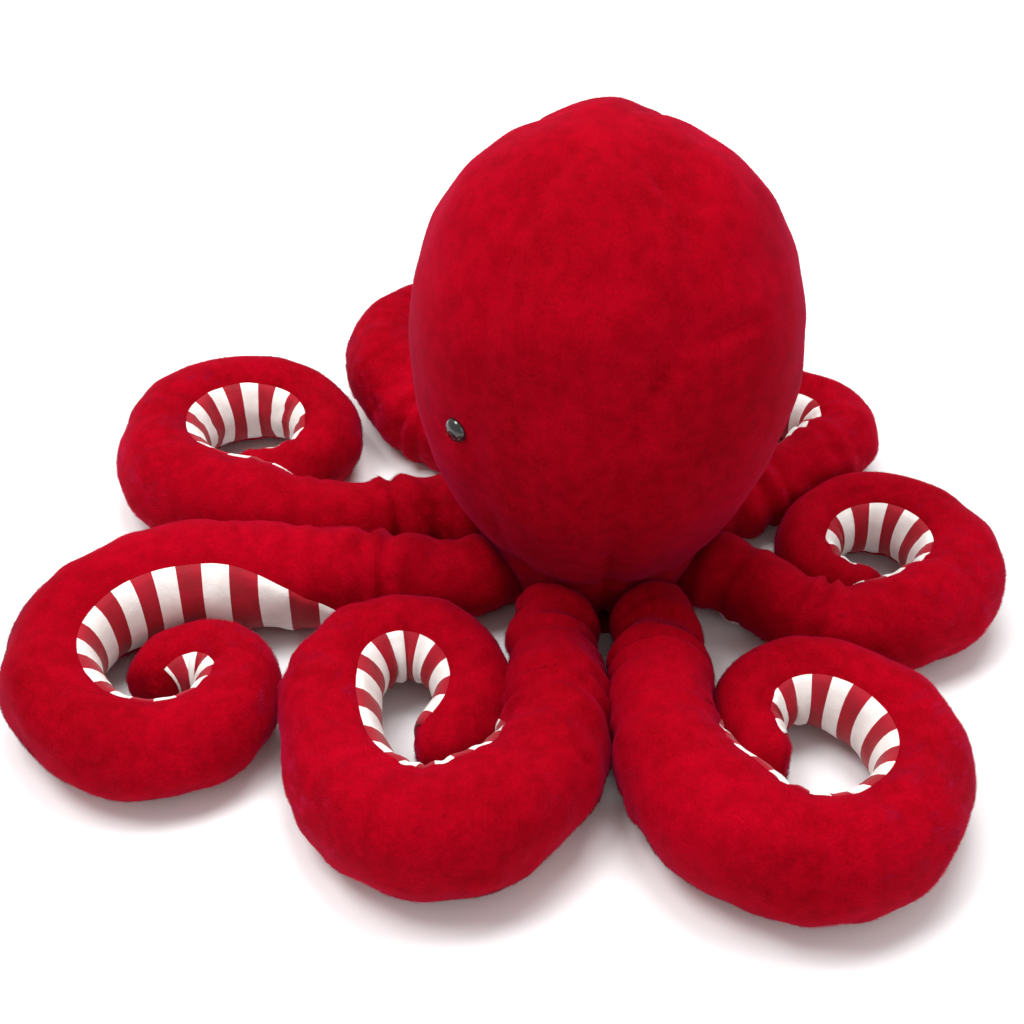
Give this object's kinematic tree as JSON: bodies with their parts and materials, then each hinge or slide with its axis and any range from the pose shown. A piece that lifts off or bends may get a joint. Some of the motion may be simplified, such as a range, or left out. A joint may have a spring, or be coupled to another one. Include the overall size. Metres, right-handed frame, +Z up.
{
  "type": "plush octopus",
  "caption": "Stuffed soft toy octopus with a tall egg-shaped fur head, bead eyes and long curled arms with striped undersides, for sitting on a shelf, bed or floor",
  "frame": {"origin": "middle of the underside of the base panel, on the floor, on the axis of the head", "axes": "+Z up through the crown; the face looks along -Y; +X is the left side of the toy"},
  "size_m": [0.5093, 0.4952, 0.267],
  "materials": {
    "crimson_plush": "short crimson fur pile",
    "striped_jersey": "smooth jersey, off-white and red stripes across the arm",
    "fibre_fill": "loose polyester fibre",
    "pellet_cloth": "plain woven bag",
    "black_plastic": "polished black",
    "clear_nylon": "natural nylon"
  },
  "bodies": {
    "head": {"head_face_panel": "crimson_plush", "head_left_panel": "crimson_plush", "head_back_panel": "crimson_plush", "head_right_panel": "crimson_plush", "head_stuffing": "fibre_fill", "left_eye": "black_plastic", "left_eye_washer": "clear_nylon", "right_eye": "black_plastic", "right_eye_washer": "clear_nylon", "base_panel": "crimson_plush", "pellet_bag": "pellet_cloth"},
    "left_arm_1": {"left_arm_1_plush_back": "crimson_plush", "left_arm_1_striped_underside": "striped_jersey", "left_arm_1_stuffing": "fibre_fill"},
    "left_arm_2": {"left_arm_2_plush_back": "crimson_plush", "left_arm_2_striped_underside": "striped_jersey", "left_arm_2_stuffing": "fibre_fill"},
    "left_arm_3": {"left_arm_3_plush_back": "crimson_plush", "left_arm_3_striped_underside": "striped_jersey", "left_arm_3_stuffing": "fibre_fill"},
    "left_arm_4": {"left_arm_4_plush_back": "crimson_plush", "left_arm_4_striped_underside": "striped_jersey", "left_arm_4_stuffing": "fibre_fill"},
    "right_arm_4": {"right_arm_4_plush_back": "crimson_plush", "right_arm_4_striped_underside": "striped_jersey", "right_arm_4_stuffing": "fibre_fill"},
    "right_arm_3": {"right_arm_3_plush_back": "crimson_plush", "right_arm_3_striped_underside": "striped_jersey", "right_arm_3_stuffing": "fibre_fill"},
    "right_arm_2": {"right_arm_2_plush_back": "crimson_plush", "right_arm_2_striped_underside": "striped_jersey", "right_arm_2_stuffing": "fibre_fill"},
    "right_arm_1": {"right_arm_1_plush_back": "crimson_plush", "right_arm_1_striped_underside": "striped_jersey", "right_arm_1_stuffing": "fibre_fill"}
  },
  "joints": [
    {"name": "left_arm_1_root", "type": "hinge", "parent": "head", "child": "left_arm_1", "pos_m": [0.02522, -0.05664, 0.047], "axis": [-0.9135, -0.4067, 0], "range_deg": [-6, 30]},
    {"name": "left_arm_2_root", "type": "hinge", "parent": "head", "child": "left_arm_2", "pos_m": [0.05862, -0.02019, 0.047], "axis": [-0.3256, -0.9455, 0], "range_deg": [-6, 30]},
    {"name": "left_arm_3_root", "type": "hinge", "parent": "head", "child": "left_arm_3", "pos_m": [0.05707, 0.02423, 0.047], "axis": [0.3907, -0.9205, 0], "range_deg": [-6, 30]},
    {"name": "left_arm_4_root", "type": "hinge", "parent": "head", "child": "left_arm_4", "pos_m": [0.02423, 0.05707, 0.047], "axis": [0.9205, -0.3907, 0], "range_deg": [-6, 30]},
    {"name": "right_arm_4_root", "type": "hinge", "parent": "head", "child": "right_arm_4", "pos_m": [-0.02522, 0.05664, 0.047], "axis": [0.9135, 0.4067, 0], "range_deg": [-6, 30]},
    {"name": "right_arm_3_root", "type": "hinge", "parent": "head", "child": "right_arm_3", "pos_m": [-0.0596, 0.01709, 0.047], "axis": [0.2756, 0.9613, 0], "range_deg": [-6, 30]},
    {"name": "right_arm_2_root", "type": "hinge", "parent": "head", "child": "right_arm_2", "pos_m": [-0.05423, -0.03006, 0.047], "axis": [-0.4848, 0.8746, 0], "range_deg": [-6, 30]},
    {"name": "right_arm_1_root", "type": "hinge", "parent": "head", "child": "right_arm_1", "pos_m": [-0.01709, -0.0596, 0.047], "axis": [-0.9613, 0.2756, 0], "range_deg": [-6, 30]}
  ]
}
